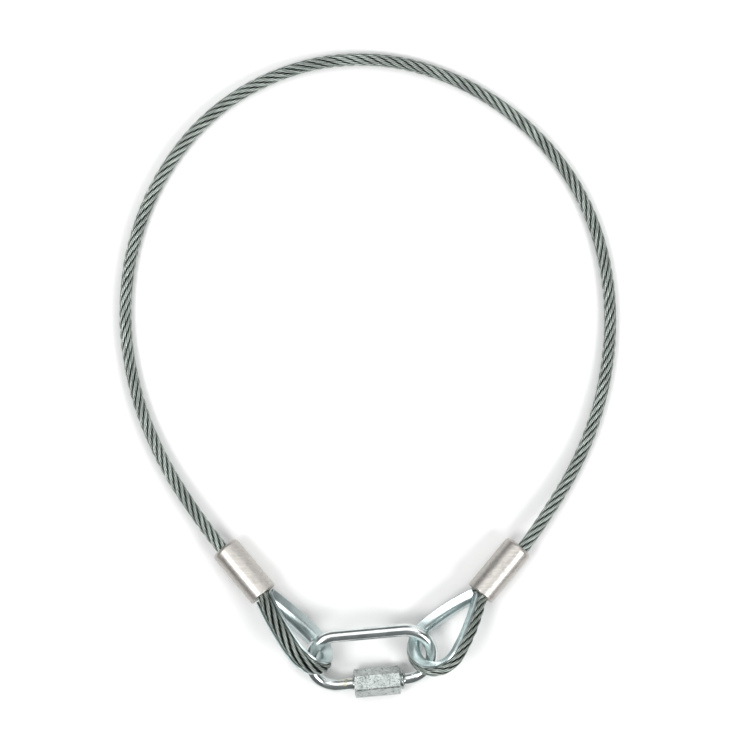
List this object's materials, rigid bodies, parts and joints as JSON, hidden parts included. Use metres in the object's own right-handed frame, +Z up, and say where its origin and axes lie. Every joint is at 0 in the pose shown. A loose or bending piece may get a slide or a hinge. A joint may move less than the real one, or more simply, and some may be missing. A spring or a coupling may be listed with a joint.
{
  "type": "wire rope safety sling",
  "caption": "Galvanised wire-rope safety sling: a springy ring of rope with a pressed thimble eye at each end, closed by a screw-gate quick link.",
  "frame": {"origin": "on the surface the sling lies on, under the middle of the box round its hardware (eyes, ferrules and link, without the free rope)", "axes": "+Z up; +X from the left eye to the right eye, nearly along the quick link's bars; +Y across the ring of rope, away from the link"},
  "size_m": [0.1984, 0.2567, 0.0257],
  "materials": {
    "rope": "hot-dip galvanised steel wire, dull grey-green",
    "ferrule": "pressed aluminium, satin with drag marks",
    "thimble": "blue-passivated zinc plate, bright",
    "link": "bright zinc plate",
    "nut": "zinc plate over drawn hexagon bar"
  },
  "bodies": {
    "sling": {"wire_rope": "rope", "rope_eye_left": "rope", "rope_eye_right": "rope", "thimble_left": "thimble", "thimble_right": "thimble", "ferrule_left": "ferrule", "ferrule_right": "ferrule"},
    "link": {"link_body": "link"},
    "nut": {"link_nut": "nut"}
  },
  "joints": [
    {"name": "link_roll", "type": "hinge", "parent": "sling", "child": "link", "pos_m": [-0.0007, -0.02021, 0.00888], "axis": [0.9994, 0.0216, -0.0288], "range_deg": [-5, 20]},
    {"name": "nut_travel", "type": "slide", "parent": "link", "child": "nut", "axis": [-0.9958, -0.0871, 0.0297], "range_m": [0, 0.0082]}
  ]
}
